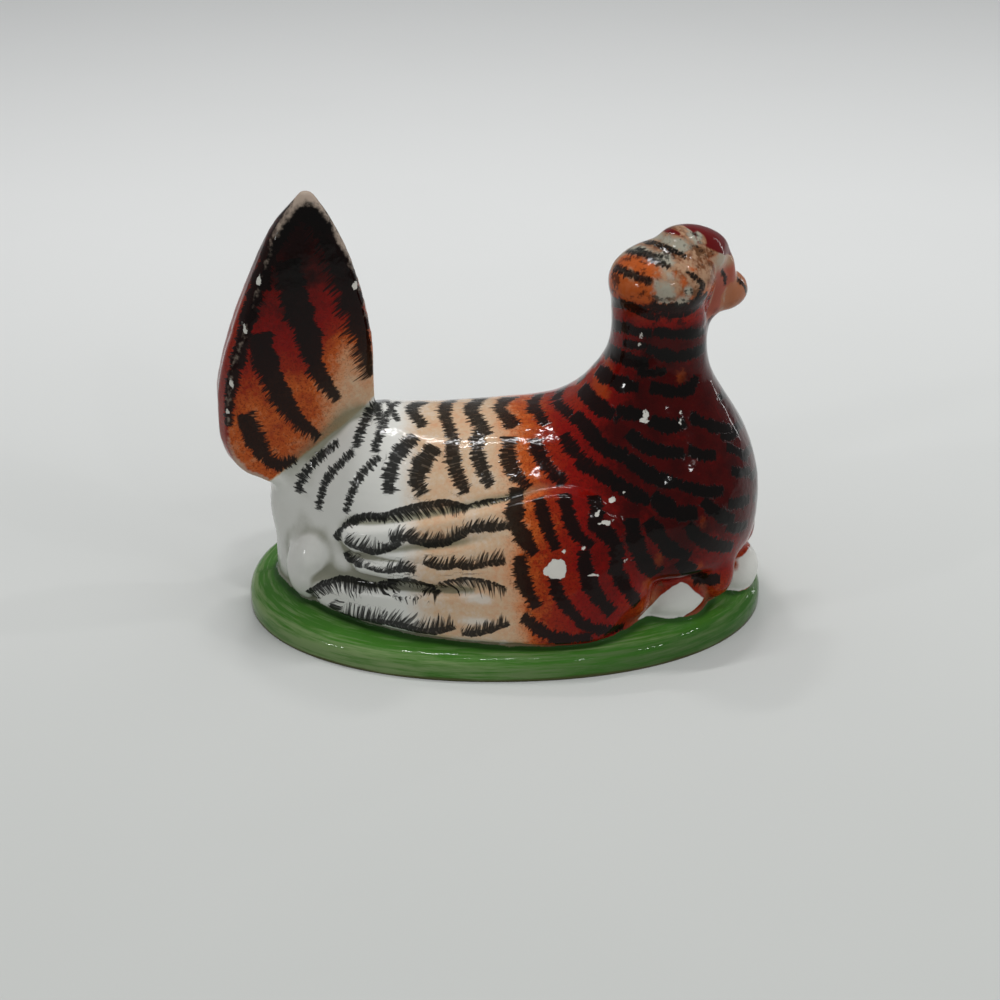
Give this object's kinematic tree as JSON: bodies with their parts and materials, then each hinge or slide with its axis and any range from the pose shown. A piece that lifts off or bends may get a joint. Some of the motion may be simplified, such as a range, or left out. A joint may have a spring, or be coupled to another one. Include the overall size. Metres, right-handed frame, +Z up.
{
  "type": "hen figurine",
  "caption": "Small glazed porcelain hen sitting on eggs on an oval base, with an upright leaf-shaped tail, folded wings in relief and the head turned to one side.",
  "frame": {"origin": "centre of the oval base's flat underside", "axes": "+Z up, +X towards the hen's breast along the base's long axis, -Y towards the hen's right side"},
  "size_m": [0.092, 0.0592, 0.0723],
  "materials": {
    "painted_porcelain": "clear gloss glaze over hand-painted white porcelain"
  },
  "bodies": {
    "root": {"hen_figurine": "painted_porcelain"}
  },
  "joints": []
}
